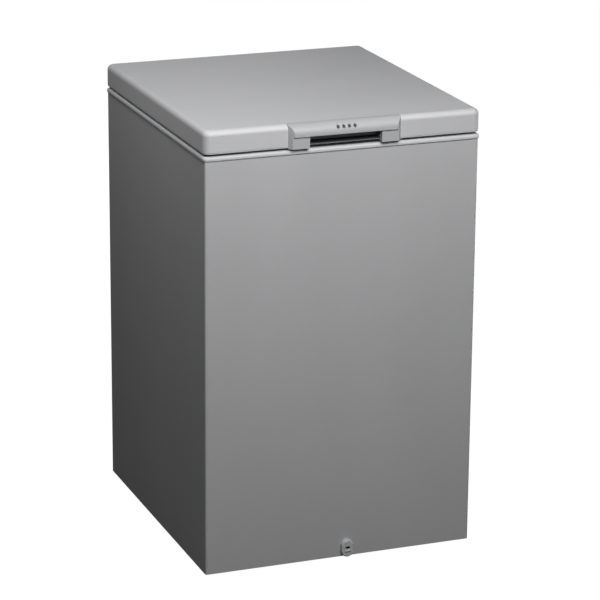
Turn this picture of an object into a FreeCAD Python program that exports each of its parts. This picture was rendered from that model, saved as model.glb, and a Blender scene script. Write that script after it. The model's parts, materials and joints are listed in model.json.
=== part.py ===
import FreeCAD, Part
import math
import os
import re
import Sketcher

# Chest freezer: foamed cabinet on four feet, counterbalanced lid, rear machine bay.
# Millimetres. +Z is up, the front faces -Y, the origin is under the middle of the box.

os.makedirs("parts", exist_ok=True)
doc = FreeCAD.newDocument("ChestFreezer")
sheet = doc.addObject("Spreadsheet::Sheet", "Dims")

DIMENSIONS = [
    ("steel", 0.8, "sheet steel of wrap, lid skin and rear panel"),
    ("wrap_half", 268, "half width of the cabinet"),
    ("wrap_front", -297.5, "front face of the cabinet"),
    ("wrap_back", 287.5, "rear face of the cabinet"),
    ("wrap_low", 12, "underside of the cabinet above the floor"),
    ("wrap_high", 808.5, "top edge of the wrap"),
    ("wrap_corner", 4, "bend radius of the wrap"),
    ("bead_half", 270.5, "half width of the top frame"),
    ("bead_front", -300, "front of the top frame"),
    ("bead_back", 290, "rear of the top frame"),
    ("bead_high", 817, "top of the top frame"),
    ("bead_corner", 9, "plan corner of the top frame"),
    ("frame_under", 814, "underside of the frame's flat"),
    ("lid_half", 270, "half width of the lid"),
    ("lid_low", 821.5, "underside of the lid frame"),
    ("skin_low", 824.5, "lower edge of the lid skin"),
    ("panel_high", 826, "top of the inner panel's flange"),
    ("lid_top", 865, "top of the lid"),
    ("lid_corner", 13, "plan corner of the lid"),
    ("lid_edge", 11, "rounding of the lid's top edge"),
    ("cavity_half", 208, "half width of the food space"),
    ("cavity_front", -236, "front wall of the food space"),
    ("cavity_back", 226, "rear wall of the food space"),
    ("cavity_floor", 73, "floor of the food space"),
    ("cavity_corner", 30, "upright corners of the food space"),
    ("step_top", 303, "top of the step over the machine bay"),
    ("step_front", 20, "front of the step"),
    ("liner", 1, "thickness of the inner liner"),
    ("bay_front", 72, "front of the machine bay"),
    ("bay_top", 252, "ceiling of the machine bay"),
    ("coil_radius", 4, "evaporator tube"),
    ("coil_low", 350, "first evaporator run"),
    ("coil_pitch", 60, "spacing of evaporator runs"),
    ("hinge_x", 165, "hinge centres either side of the middle"),
    ("pin_y", 312, "hinge pin"),
    ("pin_z", 826, "hinge pin"),
    ("pin_radius", 3, "hinge pin"),
    ("leaf_radius", 5, "hinge barrel"),
    ("plunger_radius", 6, "counterbalance plunger"),
    ("plunger_y", 300.5, "plunger centre"),
    ("plunger_low", 760, "plunger skirt, lid shut"),
    ("plunger_top", 813.1, "plunger dome, lid shut"),
    ("handle_half", 110, "half width of the handle at the lid"),
    ("handle_nose", 100, "half width of the handle at its front"),
    ("handle_reach", 10.5, "how far the grip's fascia stands out"),
    ("fascia_low", 844, "lower edge of the fascia"),
    ("fascia_rise", 20.85, "height of the fascia's curve"),
    ("badge_thick", 0.5, "thickness of the star badge"),
    ("tongue_back", -287, "rear edge of the grip's tongue on the lid"),
    ("tongue_under", 862.4, "underside of the grip's tongue"),
    ("leg_front", -307.5, "front of the handle's legs"),
    ("leg_low", 820, "foot of the handle's legs"),
    ("grip_half", 70.5, "half width of the finger recess"),
    ("drain_x", 15, "drain outlet"),
    ("drain_y", -190, "drain in the floor"),
    ("drain_z", 30, "drain outlet"),
    ("comp_x", 60, "compressor centre"),
    ("comp_y", 180, "compressor centre"),
    ("knob_y", 150, "thermostat knob"),
    ("knob_z", 190, "thermostat knob"),
    ("grid_y", 304, "plane of the condenser"),
    ("grid_low", 290, "lowest condenser run"),
    ("grid_pitch", 41, "spacing of condenser runs"),
    ("grid_half", 215, "half width of the condenser"),
    ("basket_low", 620, "floor of the basket"),
    ("basket_rim", 800, "rim of the basket"),
    ("basket_half", 100, "half width of the basket"),
    ("wire", 1.8, "radius of the basket wire"),
]

for row, (name, number, note) in enumerate(DIMENSIONS, 1):
    sheet.set("A%d" % row, name)
    sheet.set("B%d" % row, str(number))
    sheet.set("C%d" % row, note)
    sheet.setAlias("B%d" % row, name)
doc.recompute()

WORDS = set(name for name, number, note in DIMENSIONS)
TURNS = {
    "x": FreeCAD.Rotation(FreeCAD.Vector(0, 1, 0), 90),
    "y": FreeCAD.Rotation(FreeCAD.Vector(1, 0, 0), -90),
    "z": FreeCAD.Rotation(),
}


def bound(text):
    # an expression in sheet words, e.g. "wrap_half - steel"
    def full(word):
        return "Dims." + word.group(0) if word.group(0) in WORDS else word.group(0)
    return re.sub(r"[a-z]\w*", full, str(text))


def value(text):
    return float(sheet.evalExpression(bound(text)))


def point(x, y, z):
    return FreeCAD.Vector(value(x), value(y), value(z))


def made(kind, label):
    item = doc.addObject(kind, label)
    item.Label = label
    return item


def move_to(item, place):
    for axis, text in zip("xyz", place):
        item.setExpression("Placement.Base." + axis, bound(text))


def block(label, across, along, up):
    item = made("Part::Box", label)
    for side, (low, high) in zip(("Length", "Width", "Height"), (across, along, up)):
        item.setExpression(side, bound("(%s) - (%s)" % (high, low)))
    move_to(item, (across[0], along[0], up[0]))
    return item


def rod(label, axis, start, radius, length):
    item = made("Part::Cylinder", label)
    item.Placement = FreeCAD.Placement(FreeCAD.Vector(), TURNS[axis])
    item.setExpression("Radius", bound(radius))
    item.setExpression("Height", bound(length))
    move_to(item, start)
    return item


def fuse(label, *items):
    item = made("Part::MultiFuse", label)
    item.Shapes = list(items)
    return item


def cut(label, base, *tools):
    item = made("Part::Cut", label)
    item.Base = base
    item.Tool = tools[0] if len(tools) == 1 else fuse(label + "_tools", *tools)
    return item


def common(label, base, tool):
    item = made("Part::Common", label)
    item.Base = base
    item.Tool = tool
    return item


def group(label, items):
    item = made("Part::Compound", label)
    item.Links = list(items)
    return item


def upright(edge):
    return len(edge.Vertexes) == 2 and edge.BoundBox.ZLength > 0.9 * edge.Length


def at_height(level):
    return lambda edge: abs(edge.BoundBox.ZMin - level) < 0.01 and abs(edge.BoundBox.ZMax - level) < 0.01


def rounded(label, base, radius, chosen):
    doc.recompute()
    item = made("Part::Fillet", label)
    item.Base = base
    size = value(radius)
    item.Edges = [(n, size, size) for n, edge in enumerate(base.Shape.Edges, 1) if chosen(edge)]
    return item


def round_block(label, across, along, up, corner):
    return rounded(label, block(label + "_block", across, along, up), corner, upright)


def plane_of(body, role):
    return [item for item in body.Origin.OriginFeatures if item.Role == role][0]


def outline(body, role, points, start):
    sketch = body.newObject("Sketcher::SketchObject", body.Label + "_outline")
    sketch.AttachmentSupport = [(plane_of(body, role), "")]
    sketch.MapMode = "FlatFace"
    sketch.setExpression("AttachmentOffset.Base.z", bound(start))
    spots = [FreeCAD.Vector(value(u), value(v), 0) for u, v in points]
    count = len(spots)
    lines = [Part.LineSegment(spots[n], spots[(n + 1) % count]) for n in range(count)]
    sketch.addGeometry(lines, False)
    for n in range(count):
        sketch.addConstraint(Sketcher.Constraint("Coincident", n, 2, (n + 1) % count, 1))
    for n, (u, v) in enumerate(points):
        for kind, text, number in (("DistanceX", u, spots[n].x), ("DistanceY", v, spots[n].y)):
            rule = sketch.addConstraint(Sketcher.Constraint(kind, -1, 1, n, 1, number))
            sketch.setExpression("Constraints[%d]" % rule, bound(text))
    return sketch


def prism(label, role, points, start, length):
    # an outline on one of the body's own planes, padded from start by length
    body = made("PartDesign::Body", label)
    pad = body.newObject("PartDesign::Pad", label + "_pad")
    pad.Profile = outline(body, role, points, start)
    pad.setExpression("Length", bound(length))
    body.Tip = pad
    return body


def turned(label, points, place, axis="z"):
    # a radius and height profile spun about its own axis
    body = made("PartDesign::Body", label)
    spin = body.newObject("PartDesign::Revolution", label + "_spin")
    sketch = outline(body, "XZ_Plane", points, "0")
    spin.Profile = sketch
    spin.ReferenceAxis = (sketch, ["V_Axis"])
    spin.Angle = 360
    body.Tip = spin
    body.Placement = FreeCAD.Placement(FreeCAD.Vector(), TURNS[axis])
    move_to(body, place)
    return body


def bent_wire(spots, bends):
    edges = []
    start = spots[0]
    for before, corner, after, bend in zip(spots, spots[1:], spots[2:], bends):
        into = (corner - before).normalize()
        out = (after - corner).normalize()
        turn = into.getAngle(out)
        reach = bend * math.tan(turn / 2)
        enter = corner - into * reach
        leave = corner + out * reach
        middle = corner + (out - into).normalize() * (bend / math.cos(turn / 2) - bend)
        if (enter - start).Length > 0.001:
            edges.append(Part.makeLine(start, enter))
        edges.append(Part.Arc(enter, middle, leave).toShape())
        start = leave
    edges.append(Part.makeLine(start, spots[-1]))
    return Part.Wire(edges)


def pipe_shape(spots, bends, radius):
    if not isinstance(bends, (list, tuple)):
        bends = [bends] * (len(spots) - 2)
    path = bent_wire(spots, bends)
    ring = Part.Wire([Part.makeCircle(radius, spots[0], spots[1] - spots[0])])
    return path.makePipeShell([ring], True, True)


def tube(label, places, bends, radius):
    # bent tubing follows a path of straights and arcs read from the sheet
    item = made("Part::Feature", label)
    item.Shape = pipe_shape([point(*place) for place in places], bends, value(radius))
    return item


# ---- cabinet shell -------------------------------------------------------------------------
wrap_in = "wrap_half - steel"
wrap_span = ("-wrap_half", "wrap_half")
wrap_run = ("wrap_front", "wrap_back")
wrap_outer = round_block("wrap_outer", wrap_span, wrap_run, ("wrap_low", "wrap_high"), "wrap_corner")
wrap_inner = round_block("wrap_inner", ("-wrap_half + steel", wrap_in), ("wrap_front + steel", "wrap_back - steel"),
                         ("wrap_low - 1", "wrap_high + 1"), "wrap_corner - steel")
rear_window = block("rear_window", ("-wrap_half + 14", "wrap_half - 14"), ("wrap_back - 5", "wrap_back + 1"),
                    ("wrap_low - 2", "wrap_high + 2"))
grille_hole = block("grille_hole", ("wrap_half - 5", "wrap_half + 1"), ("95", "245"), ("60", "135"))
panel_hole = block("panel_hole", ("wrap_half - 6", "wrap_half + 1"), ("120", "240"), ("160", "220"))
drain_hole = rod("drain_hole", "y", ("drain_x", "wrap_front - 1", "drain_z"), "8", "5")
cover_spots = [(x, z) for x in ("-wrap_half + 8", "wrap_half - 8") for z in ("40", "225")]
cover_holes = [rod("flange_hole_%d" % n, "y", (x, "wrap_back - 3", z), "2.05", "4")
               for n, (x, z) in enumerate(cover_spots, 1)]
cut("cabinet_wrap", wrap_outer, wrap_inner, rear_window, grille_hole, panel_hole, drain_hole, *cover_holes)

hinge_sides = (("left", "-hinge_x"), ("right", "hinge_x"))
plate_spots = [(side + " %+d" % dx, str(z)) for name, side in hinge_sides for dx in (-22, 22) for z in (754, 792)]
panel_span = ("-wrap_half + 4.5", "wrap_half - 4.5")
rear_sheet = block("rear_sheet", panel_span, ("wrap_back - 2 * steel", "wrap_back - steel"),
                   ("bay_top + 0.2", "wrap_high"))
rear_holes = [rod("rear_hole_%d" % n, "y", (x, "wrap_back - 3", z), "2.05", "4")
              for n, (x, z) in enumerate(plate_spots, 1)]
cut("rear_panel", rear_sheet, *rear_holes)
block("base_panel", ("-wrap_half + 2", "wrap_half - 2"), ("wrap_front + 2", "bay_front - 0.5"),
      ("wrap_low", "wrap_low + 1"))

# bay liner: bent sheet, front wall and ceiling of the machine bay
bay_sheet = prism("bay_sheet", "YZ_Plane",
                  [("bay_front - steel", "wrap_low + 2"), ("bay_front", "wrap_low + 2"), ("bay_front", "bay_top"),
                   ("wrap_back - 2", "bay_top"), ("wrap_back - 2", "bay_top + steel"),
                   ("bay_front - steel", "bay_top + steel")],
                  "-wrap_half + 1.5", "2 * wrap_half - 3")
coil_x = "cavity_half + liner + coil_radius + 0.5"
coil_drops = ("195", "218")
ceiling_holes = [rod("ceiling_hole_%s" % y, "z", (coil_x, y, "bay_top - 5"), "coil_radius + 0.5", "10")
                 for y in coil_drops]
cut("bay_liner", bay_sheet, *ceiling_holes)


# ---- inner liner and foam ------------------------------------------------------------------
def food_space(label, extra, low_extra, top):
    corner = "cavity_corner + %s" % extra
    span = ("-cavity_half - %s" % extra, "cavity_half + %s" % extra)
    upper = round_block(label + "_upper", span, ("cavity_front - %s" % extra, "cavity_back + %s" % extra),
                        ("step_top - %s" % extra, top), corner)
    lower = round_block(label + "_lower", span, ("cavity_front - %s" % extra, "step_front + %s" % extra),
                        ("cavity_floor - %s" % extra, "step_top + %s" % low_extra), corner)
    return fuse(label, upper, lower)


liner_outer = food_space("liner_outer", "liner", "5", "frame_under")
liner_inner = food_space("liner_inner", "0", "5", "frame_under + 1")
floor_hole = rod("floor_hole", "z", ("drain_x", "drain_y", "cavity_floor - 5"), "7", "10")
cut("inner_liner", liner_outer, liner_inner, floor_hole)

foam_main = round_block("foam_main", ("-wrap_half + steel", wrap_in), ("wrap_front + steel", "wrap_back - 2 * steel"),
                        ("wrap_low + 1", "wrap_high"), "wrap_corner")
pocket_span = ("-bead_half + 8.5", "bead_half - 8.5")
pocket_run = ("bead_front + 8.5", "bead_back - 8.5")
foam_top = block("foam_top", pocket_span, pocket_run, ("wrap_high", "frame_under"))
foam_space = food_space("foam_space", "liner", "5", "frame_under + 5")
foam_bay = block("foam_bay", ("-wrap_half", "wrap_half"), ("bay_front - steel", "wrap_back + 1"),
                 ("wrap_low", "bay_top + steel"))
coil_band = block("coil_band", ("-cavity_half - 10", "cavity_half + 10"), ("cavity_front - 10", "cavity_back + 10"),
                  ("coil_low - 20", "coil_low + 440"))
coil_shafts = [rod("coil_shaft_%s" % y, "z", (coil_x, y, "bay_top - 2"), "coil_radius + 0.5", "90")
               for y in coil_drops]
drain_shaft = rod("drain_shaft", "z", ("drain_x", "drain_y", "drain_z - 10.3"), "10.3", "60")
drain_run = rod("drain_run", "y", ("drain_x", "wrap_front - 1", "drain_z"), "9.5", "drain_y - wrap_front + 3")
foam_block = fuse("foam_block", foam_main, foam_top)
foam_left = foam_block
for n, space in enumerate([foam_space, coil_band, foam_bay, drain_shaft, drain_run] + coil_shafts, 1):
    foam_left = cut("cabinet_foam" if n == 7 else "foam_stage_%d" % n, foam_left, space)

bead_block = round_block("bead_block", ("-bead_half", "bead_half"), ("bead_front", "bead_back"),
                         ("wrap_high", "bead_high"), "bead_corner")
bead_top = rounded("bead_top", bead_block, "4.5", at_height(value("bead_high")))
bead_round = rounded("bead_round", bead_top, "1.8", at_height(value("wrap_high")))
frame_mouth = round_block("frame_mouth", ("-cavity_half", "cavity_half"), ("cavity_front", "cavity_back"),
                          ("wrap_high - 5", "bead_high + 5"), "cavity_corner")
frame_pocket = block("frame_pocket", pocket_span, pocket_run, ("wrap_high - 1", "frame_under"))
cut("top_frame", bead_round, fuse("frame_space", frame_mouth, frame_pocket))

# ---- evaporator: one tube wound round three sides of the liner ------------------------------
front_y = "cavity_front - liner - coil_radius - 0.5"
rear_y = coil_drops[0]
coil_path = [(coil_x, rear_y, "bay_top - 6"), (coil_x, rear_y, "coil_low")]
coil_bends = [15]
for run in range(8):
    level = "coil_low + %d * coil_pitch" % run
    near, far = (coil_x, "-(%s)" % coil_x) if run % 2 == 0 else ("-(%s)" % coil_x, coil_x)
    if run:
        coil_path += [(near, rear_y, level)]
        coil_bends += [15]
    coil_path += [(near, front_y, level), (far, front_y, level)]
    coil_bends += [35.5, 35.5]
    if run < 7:
        coil_path += [(far, rear_y, level)]
        coil_bends += [15]
coil_path += [(coil_x, coil_drops[1], level), (coil_x, coil_drops[1], "bay_top - 6")]
coil_bends += [8]
tube("evaporator_coil", coil_path, coil_bends, "coil_radius")

# ---- feet and machine bay -------------------------------------------------------------------
foot_profile = [("0", "0"), ("16", "0"), ("18", "2"), ("18", "6"), ("8", "9"), ("8", "wrap_low"), ("0", "wrap_low")]
foot_spots = [(x, y) for x in ("-wrap_half + 45", "wrap_half - 45") for y in ("wrap_front + 60", "wrap_back - 47")]
group("levelling_feet", [turned("foot_%d" % n, foot_profile, (x, y, "0")) for n, (x, y) in enumerate(foot_spots, 1)])
block("compressor_tray", ("-wrap_half + 2", "wrap_half - 2"), ("bay_front", "wrap_back - 2"),
      ("wrap_low", "wrap_low + 2"))

grommet_spots = [("comp_x %+d" % dx, "comp_y %+d" % dy) for dx in (-80, 80) for dy in (-52, 52)]
grommet_profile = [("4", "14"), ("11", "14"), ("11", "28"), ("6.9", "28"), ("6.9", "31"), ("10", "31"), ("10", "36"),
                   ("4", "36")]
stud_profile = [("0", "14"), ("3.9", "14"), ("3.9", "36.2"), ("8", "36.2"), ("8", "41"), ("3.9", "41"), ("3.9", "46"),
                ("0", "46")]
group("compressor_grommets", [turned("grommet_%d" % n, grommet_profile, (x, y, "0"))
                              for n, (x, y) in enumerate(grommet_spots, 1)])
group("compressor_bolts", [turned("stud_%d" % n, stud_profile, (x, y, "0"))
                           for n, (x, y) in enumerate(grommet_spots, 1)])
can_profile = [("0", "31"), ("66", "31"), ("72", "36"), ("75", "46"), ("75", "98"), ("78", "98"), ("78", "104"),
               ("75", "104"), ("75", "160"), ("71", "176"), ("60", "189"), ("42", "198"), ("20", "202"), ("0", "203")]
can = turned("compressor_can", can_profile, ("comp_x", "comp_y", "0"))
can_foot = block("can_foot", ("comp_x - 92", "comp_x + 92"), ("comp_y - 63", "comp_y + 63"), ("28", "31"))
foot_holes = [rod("foot_hole_%d" % n, "z", (x, y, "20"), "7", "20") for n, (x, y) in enumerate(grommet_spots, 1)]
cut("compressor_shell", fuse("compressor_steel", can, can_foot), *foot_holes)
cover_block = block("terminal_block", ("comp_x - 105", "comp_x - 60"), ("comp_y - 30", "comp_y + 30"), ("50", "96"))
can_copy = turned("can_clearance", can_profile, ("comp_x", "comp_y", "0"))
cut("terminal_cover", cover_block, can_copy)

tube("suction_pipe", [(coil_x, coil_drops[1], "bay_top - 6"), (coil_x, coil_drops[1], "130"),
                      (coil_x, "comp_y", "130"), ("comp_x + 74.95", "comp_y", "130")], 14, "coil_radius")
tube("discharge_pipe", [("comp_x", "comp_y + 74.97", "110"), ("comp_x", "266", "110"), ("236", "266", "110"),
                        ("236", "266", "235"), ("236", "275", "235")], 6, "2.5")
drier_profile = [("0", "0"), ("2.5", "0"), ("3.5", "8"), ("9", "16"), ("9", "72"), ("3.5", "82"), ("3", "90"),
                 ("0", "90")]
turned("filter_drier", drier_profile, ("-240", "185", "235"), "y")
tube("capillary_tube", [("-240", "185", "235"), ("-240", "100", "235"), (coil_x, "100", "235"),
                        (coil_x, coil_drops[0], "235"), (coil_x, coil_drops[0], "bay_top - 6")], 8, "1.25")

# ---- wire-on-tube condenser on the back --------------------------------------------------------
grid_path = [("236", "275", "235"), ("236", "grid_y", "235"), ("236", "grid_y", "grid_low")]
for run in range(11):
    level = "grid_low + %d * grid_pitch" % run
    near, far = ("grid_half", "-grid_half") if run % 2 == 0 else ("-grid_half", "grid_half")
    if run:
        grid_path += [(near, "grid_y", level)]
    grid_path += [(far, "grid_y", level)]
grid_path[-1] = ("-240", "grid_y", level)
grid_path += [("-240", "grid_y", "235"), ("-240", "275", "235")]
tube("condenser_tube", grid_path, 14, "2.5")
wire_rods = []
for column in range(-9, 10):
    for face, offset in (("front", -3.25), ("back", 3.25)):
        place = ("%d" % (column * 20), "grid_y %+.2f" % offset, "grid_low - 8")
        wire_rods.append(rod("wire_%s_%d" % (face, column + 10), "z", place, "0.7", "10 * grid_pitch + 16"))
group("condenser_wires", wire_rods)
stands = [block("stand_%d" % n, ("%d" % (x - 9), "%d" % (x + 9)), ("wrap_back - steel", "grid_y - 4.0"),
                ("%s" % z, "%s + 14" % z))
          for n, (x, z) in enumerate([(x, z) for x in (-140, 140) for z in ("303", "664")], 1)]
group("condenser_brackets", stands)
group("wall_spacers", [block("spacer_%d" % n, ("%d" % (x - 14), "%d" % (x + 14)), ("wrap_back - steel", "320"),
                             ("752", "776")) for n, x in enumerate((-62, 62), 1)])

# ---- bay covers, controls -----------------------------------------------------------------------
cover_sheet = block("cover_sheet", panel_span, ("wrap_back - 2 * steel", "wrap_back - steel"), ("14.3", "bay_top - 0.3"))
cover_cuts = [block("louvre_%d_%d" % (row, column), ("%d" % x, "%d" % (x + 84)),
                    ("wrap_back - 5", "wrap_back + 1"), ("%d" % z, "%d" % (z + 6)))
              for row, z in enumerate(range(60, 204, 16), 1) for column, x in enumerate((-204, -96, 12, 120), 1)]
cover_cuts += [rod("tube_exit_%d" % n, "y", (x, "wrap_back - 5", "235"), "4", "8") for n, x in enumerate(("236", "-240"), 1)]
cover_cuts += [rod("gland_exit", "y", ("-215", "wrap_back - 5", "38"), "7", "8")]
cover_cuts += [rod("cover_hole_%d" % n, "y", (x, "wrap_back - 3", z), "2.05", "4")
               for n, (x, z) in enumerate(cover_spots, 1)]
cut("bay_rear_cover", cover_sheet, *cover_cuts)


def screw(label, place, grip, head, axis, flip=1):
    # round head seated at the place, shank running back through the sheets
    profile = [("0", "%g" % (-grip * flip)), ("2", "%g" % (-grip * flip)), ("2", "0"), ("%g" % head, "0"),
               ("%g" % head, "%g" % (1.2 * flip)), ("%g" % (head * 0.5), "%g" % (2.2 * flip)), ("0", "%g" % (2.2 * flip))]
    return turned(label, profile, place, axis)


group("cover_screws", [screw("cover_screw_%d" % n, (x, "wrap_back", z), 1.6, 4, "y")
                       for n, (x, z) in enumerate(cover_spots, 1)])
gland_profile = [("2.5", "0"), ("6.9", "0"), ("6.9", "5"), ("10", "5"), ("10", "9"), ("5", "14"), ("2.5", "14")]
turned("cord_gland", gland_profile, ("-215", "wrap_back - steel - 5", "38"), "y")

grille_plate = block("grille_plate", ("wrap_half", "wrap_half + 2"), ("91", "249"), ("56", "139"))
grille_body = block("grille_body", ("wrap_half - 3", "wrap_half"), ("95.3", "244.7"), ("60.3", "134.7"))
grille_cuts = [block("slot_%d_%d" % (row, half), ("wrap_half - 5", "wrap_half + 3"), (low, high),
                     ("%d" % z, "%d" % (z + 6)))
               for row, z in enumerate(range(66, 128, 11), 1)
               for half, (low, high) in enumerate((("101", "167"), ("173", "239")), 1)]
cut("side_grille", fuse("grille_blank", grille_plate, grille_body), *grille_cuts)

panel_flange = block("panel_flange", ("wrap_half", "wrap_half + 2"), ("116", "244"), ("156", "224"))
panel_tub = block("panel_tub", ("wrap_half - 18", "wrap_half"), ("120.3", "239.7"), ("160.3", "219.7"))
panel_recess = block("panel_recess", ("wrap_half - 15", "wrap_half + 3"), ("123", "237"), ("163", "217"))
lamp_spots = (("green", "188"), ("amber", "204"), ("red", "220"))
panel_cuts = [rod("lamp_hole_%s" % name, "x", ("wrap_half - 20", y, "knob_z"), "4", "10") for name, y in lamp_spots]
panel_cuts += [rod("spindle_hole", "x", ("wrap_half - 20", "knob_y", "knob_z"), "4", "10")]
cut("control_panel", fuse("panel_blank", panel_flange, panel_tub), panel_recess, *panel_cuts)
for name, y in lamp_spots:
    lens = [("0", "0"), ("3.9", "0"), ("3.9", "5"), ("3", "6.5"), ("0", "7.2")]
    turned("lamp_%s" % name, lens, ("wrap_half - 18", y, "knob_z"), "x")
stat_box = block("stat_box", ("wrap_half - 44", "wrap_half - 18"), ("knob_y - 19", "knob_y + 19"),
                 ("knob_z - 16", "knob_z + 16"))
stat_spindle = rod("stat_spindle", "x", ("wrap_half - 18.5", "knob_y", "knob_z"), "3", "13")
fuse("thermostat_body", stat_box, stat_spindle)
knob_profile = [("3.05", "0"), ("14", "0"), ("17", "3"), ("17", "5"), ("12", "6"), ("11", "14"), ("9.5", "15"),
                ("0", "15"), ("0", "12"), ("3.05", "12")]
knob_round = turned("knob_round", knob_profile, ("wrap_half - 14.5", "knob_y", "knob_z"), "x")
knob_notch = block("knob_notch", ("wrap_half - 1", "wrap_half + 3"), ("knob_y - 1", "knob_y + 1"), ("knob_z", "knob_z + 12"))
cut("thermostat_knob", knob_round, knob_notch)

# ---- drain: collar under the floor, tube to the front, spout, plug -------------------------------
drain_path = [point("drain_x", "drain_y", "61"), point("drain_x", "drain_y", "drain_z"),
              point("drain_x", "wrap_front", "drain_z")]
collar = rod("drain_collar", "z", ("drain_x", "drain_y", "60"), "10", "cavity_floor - liner - 60")
for name, radius in (("drain_hose", 7.5), ("drain_bore", 6)):
    hose = made("Part::Feature", name)
    hose.Shape = pipe_shape(drain_path, 12, radius)
collar_bore = rod("collar_bore", "z", ("drain_x", "drain_y", "59"), "7", "20")
cut("drain_tube", fuse("drain_pipe", collar, doc.getObject("drain_hose")), doc.getObject("drain_bore"), collar_bore)
spout_box = block("spout_box", ("drain_x - 12", "drain_x + 12"), ("wrap_front - 8", "wrap_front"), ("24", "34"))
spout_ends = [rod("spout_end_" + z, "y", ("drain_x", "wrap_front - 8", z), "12", "8") for z in ("24", "34")]
spout_lip = block("spout_lip", ("drain_x - 6.5", "drain_x + 6.5"), ("wrap_front - 9.5", "wrap_front - 7"), ("22", "26"))
spout_slot = block("spout_slot", ("drain_x - 5", "drain_x + 5"), ("wrap_front - 12", "wrap_front + 1"), ("26", "34"))
cut("drain_spout", fuse("spout_blank", spout_box, spout_lip, *spout_ends), spout_slot)
plug_profile = [("0", "-11"), ("6.93", "-11"), ("6.93", "0.3"), ("12", "0.3"), ("12", "3"), ("4", "4.5"), ("4", "10"),
                ("6", "12"), ("6", "14"), ("0", "14")]
turned("drain_plug", plug_profile, ("drain_x", "drain_y", "cavity_floor"))


# ---- counterbalanced hinges ----------------------------------------------------------------------
def hinge_at(name, centre):
    plate = block(name + "_plate", (centre + " - 30", centre + " + 30"), ("wrap_back - steel", "wrap_back + 0.7"),
                  ("742", "803"))
    cheek = [("wrap_back + 0.7", "738"), ("314", "738"), ("320", "744"), ("320", "pin_z + 3"), ("315", "pin_z + 8"),
             ("300", "pin_z + 8"), ("291", "822"), ("291", "805"), ("wrap_back + 0.7", "803")]
    cheeks = [prism("%s_cheek_%d" % (name, n), "YZ_Plane", cheek, centre + offset, "1.5")
              for n, offset in enumerate((" - 13.5", " + 12"), 1)]
    tab = block(name + "_tab", (centre + " - 12", centre + " + 12"), ("wrap_back + 0.7", "314"), ("738", "739.5"))
    foot = block(name + "_foot", (centre + " - 13.5", centre + " + 13.5"), ("wrap_back - steel", "wrap_back + 0.7"),
                 ("738", "742"))
    holes = [rod("%s_hole_%d" % (name, n), "y", (x, "wrap_back - 3", z), "2.05", "6")
             for n, (x, z) in enumerate(plate_spots, 1) if x.startswith(centre + " ")]
    bore = rod(name + "_pin_bore", "x", (centre + " - 20", "pin_y", "pin_z"), "pin_radius + 0.05", "40")
    cut(name + "_hinge_body", fuse(name + "_hinge_steel", plate, tab, foot, *cheeks), bore, *holes)

    arm_points = [("pin_y - 22", "pin_z + 10"), ("pin_y - 22", "pin_z + 19"), ("pin_y - 18", "pin_z + 19"),
                  ("pin_y + 4.2", "pin_z + 2.6"), ("pin_y - 3", "pin_z - 3.9")]
    arm = prism(name + "_arm", "YZ_Plane", arm_points, centre + " - 9", "18")
    finger_points = [("pin_y + 1.61", "pin_z - 1.92"), ("pin_y - 1.61", "pin_z + 1.92"),
                     ("pin_y - 11.57", "pin_z - 6.45"), ("pin_y - 8.35", "pin_z - 10.28")]
    lever = prism(name + "_lever", "YZ_Plane", finger_points, centre + " - 5", "10")
    tip = rod(name + "_tip", "x", (centre + " - 5", "pin_y - 9.96", "pin_z - 8.36"), "4", "10")
    barrel = rod(name + "_barrel", "x", (centre + " - 11.7", "pin_y", "pin_z"), "leaf_radius", "23.4")
    leaf = block(name + "_leaf", (centre + " - 30", centre + " + 30"), ("bead_back", "bead_back + 2"),
                 ("pin_z + 10", "pin_z + 27"))
    leaf_bore = rod(name + "_leaf_bore", "x", (centre + " - 20", "pin_y", "pin_z"), "pin_radius + 0.05", "40")
    leaf_holes = [rod("%s_leaf_hole_%d" % (name, n), "y", ("%s %+d" % (centre, dx), "bead_back - 3", "pin_z + 18.5"),
                      "2.05", "8") for n, dx in enumerate((-22, 22), 1)]
    cut(name + "_hinge_leaf", fuse(name + "_leaf_steel", arm, lever, tip, barrel, leaf), leaf_bore, *leaf_holes)


for side_name, side_x in hinge_sides:
    hinge_at(side_name, side_x)

pin_profile = [("0", "-15.5"), ("5", "-15.5"), ("5", "-13.6"), ("pin_radius", "-13.6"), ("pin_radius", "13.6"),
               ("5", "13.6"), ("5", "15.5"), ("0", "15.5")]
group("hinge_pins", [turned("pin_" + name, pin_profile, (x, "pin_y", "pin_z"), "x") for name, x in hinge_sides])
guides = []
for side_name, side_x in hinge_sides:
    guide = block("guide_block_" + side_name, (side_x + " - 11.9", side_x + " + 11.9"), ("wrap_back + 0.7", "309"),
                  ("770", "797"))
    guide_bore = rod("guide_bore_" + side_name, "z", (side_x, "plunger_y", "765"), "plunger_radius + 0.05", "40")
    guides.append(cut("guide_" + side_name, guide, guide_bore))
group("hinge_guides", guides)
dome = [("%.3f" % (6 * math.cos(math.radians(a))), "plunger_top - 6 + %.3f" % (6 * math.sin(math.radians(a))))
        for a in range(0, 80, 15)]
plunger_profile = [("4.9", "plunger_low"), ("6", "plunger_low")] + dome + [
    ("0", "plunger_top"), ("0", "plunger_top - 9"), ("4.9", "plunger_top - 9")]
group("hinge_plungers", [turned("plunger_" + name, plunger_profile, (x, "plunger_y", "0")) for name, x in hinge_sides])
spring_base = 740.3
spring_rise = value("plunger_top") - 9 - 0.85 - spring_base
coils = []
for side_name, side_x in hinge_sides:
    helix = Part.makeHelix(spring_rise / 11.0, spring_rise, 3.9)
    section = Part.Wire([Part.makeCircle(0.65, FreeCAD.Vector(3.9, 0, 0), FreeCAD.Vector(0, 1, 0))])
    spring = made("Part::Feature", "spring_" + side_name)
    spring.Shape = Part.Wire(helix.Edges).makePipeShell([section], True, True)
    spring.Placement = FreeCAD.Placement(point(side_x, "plunger_y", str(spring_base)), FreeCAD.Rotation())
    coils.append(spring)
group("hinge_springs", coils)
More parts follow.
